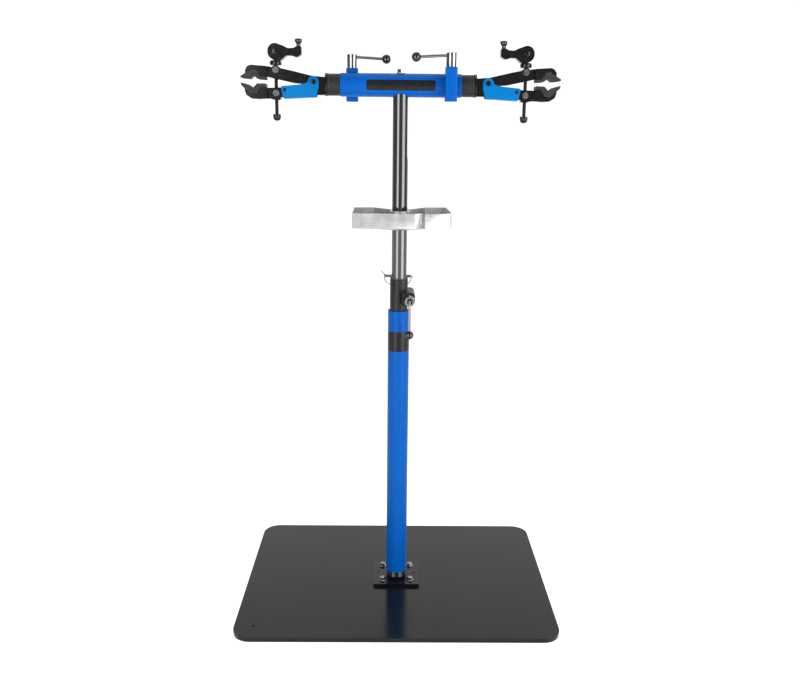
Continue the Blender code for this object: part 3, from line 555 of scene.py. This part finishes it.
# ---- clamps --------------------------------------------------------------------------------
def binder(side, half):
    keep(copied(f"{side}_binder_boss"), f"{side}_binder_block", BLUE, "mast",
         [f"{side}_binder_boss"], 0.0022, 3)
    wedges = [rod_between((0.1295, -0.038, low), (0.1295, -0.038, low + 0.0265), 0.0132, 48)
              for low in (-0.0325, 0.006)]
    stud = rod_between((0.1295, -0.038, -0.0400), (0.1295, -0.038, 0.0535), 0.0042)
    shaft = rod_between((0, 0, 0), (0.3, 0, 0), 0.0253, 96)
    grips = merged(stud, carved(merged(*wedges), shaft))
    keep(turn(grips, half), f"{side}_binder_wedges", STEEL, "mast", [f"{side}_binder_cotter"])


def shaft_and_sleeve(side, half):
    low, high = 0.1588, 0.1914
    profile = [(0.0253, low), (0.0279, low), (0.0282, low + 0.0006)]
    pitch = (high - low - 0.004) / 6
    for rib in range(6):
        start = low + 0.0022 + rib * pitch
        profile += [(0.0282, start), (0.0273, start + 0.0006), (0.0273, start + 0.0018),
                    (0.0282, start + 0.0024)]
    profile += [(0.0282, high - 0.0006), (0.0279, high), (0.0253, high)]
    keep(turn(spun(profile, 96, ring=True), half @ TO_X), f"{side}_ribbed_sleeve", SLEEVE,
         f"{side}_clamp", [f"{side}_sleeve"])
    shaft = spun([(0.0220, 0.1987), (0.0288, 0.1987), (0.0296, 0.1979), (0.0296, 0.1925),
                  (0.0288, 0.1917), (0.0250, 0.1917), (0.0250, 0.0300), (0.0220, 0.0300)], 96, ring=True)
    keep(turn(shaft, half @ TO_X), f"{side}_shaft_and_flange", CAST, f"{side}_clamp",
         [f"{side}_clamp_shaft"])


def jaws(side):
    clamp, jaw = f"{side}_clamp", f"{side}_jaw"
    keep(copied(f"{side}_upper_jaw"), f"{side}_upper_casting", CAST, clamp,
         [f"{side}_upper_jaw"], 0.0016, 3)
    keep(copied(f"{side}_lower_jaw"), f"{side}_lower_casting", CAST, jaw,
         [f"{side}_lower_jaw"], 0.0014, 3)
    keep(copied(f"{side}_upper_cover"), f"{side}_upper_pad", RUBBER, clamp,
         [f"{side}_upper_cover"], 0.0011, 3)
    keep(copied(f"{side}_lower_cover"), f"{side}_lower_pad", RUBBER, jaw,
         [f"{side}_lower_cover"], 0.0011, 3)
    keep(copied(f"{side}_channel"), f"{side}_folded_channel", CHANNEL_BLUE, jaw,
         [f"{side}_channel"], 0.0009, 3)


def clamp_fasteners(side, half):
    u, w = JAW_PIVOT
    face = 0.0166
    heads = [rod_between((0, 0, -face), (0, 0, face), 0.0050)]
    for flip in (0, math.pi):
        head = merged(hexagon(0.0068, face, face + 0.0042, 0.0010),
                      spun([(0, face + 0.0002), (0.0066, face + 0.0002), (0.0066, face + 0.0008),
                            (0, face + 0.0008)], 32))
        heads.append(turn(head, Matrix.Rotation(flip, 4, "X")))
    bolt = turn(merged(*heads), half @ at(u, 0, w) @ TO_Y)
    keep(bolt, f"{side}_pivot_hex_bolt", CAST, f"{side}_clamp", [f"{side}_pivot_bolt"])

    u, w = CHANNEL_SCREW
    body = [rod_between((0, 0, -0.0158), (0, 0, 0.0158), 0.0030)]
    for flip in (0, math.pi):
        dome = spun([(0, 0.0187), (0.0022, 0.0184), (0.0042, 0.0174), (0.0048, 0.0164), (0, 0.0164)], 32)
        recess = hexagon(0.0019, 0.0172, 0.0200, 0.0001)
        body.append(turn(carved(dome, recess), Matrix.Rotation(flip, 4, "X")))
    keep(turn(merged(*body), half @ at(u, 0, w) @ TO_Y), f"{side}_channel_screw", CAST, f"{side}_jaw")


def nuts(side, half):
    for level, (u, w) in (("upper", UPPER_NUT), ("lower", LOWER_NUT)):
        ends = spun([(0, 0.0128), (0.0030, 0.0128), (0.0034, 0.0132), (0.0078, 0.0132),
                     (0.0090, 0.0122), (0.0090, -0.0122), (0.0078, -0.0132), (0.0034, -0.0132),
                     (0.0030, -0.0128), (0, -0.0128)], 64)
        hole = rod_between((0, -0.02, 0), (0, 0.02, 0), 0.0053, 48)
        keep(turn(carved(ends, hole), half @ at(u, 0, w) @ TO_Y), f"{side}_{level}_nut_barrel",
             STEEL, f"{side}_{level}_nut", [f"{side}_{level}_trunnion"])


def screw(side, half):
    """Spindle with its thread drawn as plain rings, eye and cam pin, and the seat under the cam."""
    u, w = CAM_PIN
    profile = [(0, w - 0.004), (0.0046, w - 0.004)]
    height = 0.0440
    while height > -0.0740:
        profile += [(0.0050, height), (0.0050, height - 0.0004), (0.0044, height - 0.0009),
                    (0.0044, height - 0.0012)]
        height -= 0.0017
    profile += [(0.0050, -0.0758), (0.0092, -0.0760), (0.0105, -0.0770), (0.0107, -0.0800),
                (0.0103, -0.0850), (0.0085, -0.0900), (0.0060, -0.0924), (0.0030, -0.0930), (0, -0.0930)]
    eye = rod_between((0, -0.0047, w), (0, 0.0047, w), 0.0078, 48)
    pin = rod_between((0, -0.0130, w), (0, 0.0130, w), 0.0040)
    dome = [(0, 0.0139), (0.0058, 0.0139), (0.0070, 0.0134), (0.0075, 0.0123), (0, 0.0123)]
    heads = [turn(spun(dome, 48), at(0, 0, w) @ facing) for facing in (TO_Y, TO_FRONT)]
    keep(turn(merged(spun(profile, 48), eye, pin, *heads), half @ at(u, 0, 0)),
         f"{side}_threaded_spindle", CAST, f"{side}_screw", [f"{side}_spindle"])
    seat = spun([(0.0053, 0.0587), (0.0122, 0.0587), (0.0140, 0.0580), (0.0154, 0.0562),
                 (0.0156, 0.0540), (0.0156, 0.0510), (0.0150, 0.0484), (0.0136, 0.0467),
                 (0.0053, 0.0467)], 64, ring=True)
    keep(turn(seat, half @ at(u, 0, 0)), f"{side}_thrust_seat", CAST, f"{side}_screw",
         [f"{side}_thrust_washer"])


def lever(side, half):
    keep(copied(f"{side}_cam_lever"), f"{side}_cam_handle", CAST, f"{side}_lever",
         [f"{side}_cam_lever"], 0.0034, 4, 50)
    stem = spun([(0, 0.1133), (0.0070, 0.1131), (0.0088, 0.1124), (0.0097, 0.1108), (0.0098, 0.1080),
                 (0.0094, 0.1056), (0.0082, 0.1036), (0.0066, 0.1018), (0.0057, 0.0998),
                 (0.0055, 0.0975), (0.0055, 0.0948), (0, 0.0948)], 64)
    keep(turn(stem, half @ at(0.2672, 0, 0)), f"{side}_mushroom_knob", GLOSS, f"{side}_lever",
         [f"{side}_knob"])


floor_plate()
flange_bolts()
column()
collar()
mast()
safety_pin()
tray()
crossbar()
lock_turn = Euler((math.pi / 2, math.pi / 2, 0)).to_matrix().to_4x4()
lever_set("height_lock", at(0.029, -0.0443, 0.8785) @ lock_turn, "height_lock_screw",
          "height_lock_handle", "height_lock", 0.0955)
for side, angle in (("right", 0.0), ("left", math.pi)):
    half = at(0, 0, ARM_Z) @ Matrix.Rotation(angle, 4, "Z")
    lever_set(f"{side}_binder", half @ at(0.1295, -0.038, 0.0438) @ Matrix.Rotation(math.pi, 4, "Z"),
              f"{side}_binder_screw", f"{side}_binder_handle", f"{side}_binder", 0.0910)
    binder(side, half)
    shaft_and_sleeve(side, half)
    jaws(side)
    clamp_fasteners(side, half)
    nuts(side, half)
    screw(side, half)
    lever(side, half)
NODES["mast_plug"].data.materials.clear()
NODES["mast_plug"].data.materials.append(STEEL.material)


# ---- floor, light and camera ---------------------------------------------------------------
def studio_floor():
    bm = bmesh.new()
    bmesh.ops.create_grid(bm, x_segments=8, y_segments=8, size=12.0)
    bmesh.ops.translate(bm, vec=(0, 0, -0.0006), verts=bm.verts)
    mesh = bpy.data.meshes.new("studio_floor")
    bm.to_mesh(mesh)
    bm.free()
    floor = bpy.data.objects.new("studio_floor", mesh)
    pale = Finish("studio_floor_pale", "", 0.9)
    pale.set(Specular_IOR_Level=0.1, Emission_Color=(1.0, 1.0, 1.0, 1.0), Emission_Strength=1.0)
    pale.shades(pale.noise(0.6, 2.0), (0.30, 0.30, 0.30), (0.32, 0.32, 0.32))
    mesh.materials.append(pale.material)
    bpy.context.scene.collection.objects.link(floor)


def softbox(name, place, target, width, height, power):
    data = bpy.data.lights.new(name, "AREA")
    data.shape = "RECTANGLE"
    data.size = width
    data.size_y = height
    data.energy = power
    lamp = bpy.data.objects.new(name, data)
    lamp.location = place
    lamp.rotation_euler = (Vector(target) - Vector(place)).to_track_quat("-Z", "Y").to_euler()
    bpy.context.scene.collection.objects.link(lamp)


def studio_light():
    world = bpy.data.worlds.new("studio")
    world.use_nodes = True
    tree = world.node_tree
    tree.nodes["Background"].inputs["Color"].default_value = (1.0, 1.0, 1.0, 1.0)
    direction = tree.nodes.new("ShaderNodeTexCoord").outputs["Generated"]
    depth = tree.nodes.new("ShaderNodeSeparateXYZ")
    tree.links.new(direction, depth.inputs["Vector"])
    fade = tree.nodes.new("ShaderNodeMapRange")
    fade.inputs["From Min"].default_value = 0.25
    fade.inputs["From Max"].default_value = 0.85
    fade.inputs["To Min"].default_value = 0.32
    fade.inputs["To Max"].default_value = 1.10
    tree.links.new(depth.outputs["Y"], fade.inputs["Value"])
    tree.links.new(fade.outputs["Result"], tree.nodes["Background"].inputs["Strength"])
    bpy.context.scene.world = world
    softbox("left_panel", (-1.50, -2.23, 1.30), (0, 0, 0.95), 1.40, 2.6, 62)
    softbox("right_panel", (2.04, -1.77, 1.30), (0, 0, 0.95), 1.95, 2.6, 86)
    softbox("back_panel", (2.60, 2.60, 2.20), (0, 0, 0.95), 1.60, 2.2, 55)
    softbox("top_panel", (0.0, 0.6, 3.4), (0, 0.4, 0.0), 3.0, 2.4, 25)
    bpy.context.scene.view_settings.view_transform = "Standard"


def camera():
    data = bpy.data.cameras.new("camera")
    data.lens = 37.145
    data.sensor_width = 36.0
    data.clip_start = 0.05
    data.clip_end = 60.0
    view = bpy.data.objects.new("camera", data)
    yaw, pitch, roll = 0.0112, 0.2491, 0.0103
    ahead = Vector((math.sin(yaw) * math.cos(pitch), math.cos(yaw) * math.cos(pitch), -math.sin(pitch)))
    level = ahead.cross(Vector((0, 0, 1))).normalized()
    above = level.cross(ahead)
    right = math.cos(roll) * level + math.sin(roll) * above
    up = -math.sin(roll) * level + math.cos(roll) * above
    view.matrix_world = at(-0.0208, -2.2741, 1.3117) @ Matrix((right, up, -ahead)).transposed().to_4x4()
    bpy.context.scene.collection.objects.link(view)
    bpy.context.scene.camera = view


studio_floor()
studio_light()
camera()

bpy.context.view_layer.update()
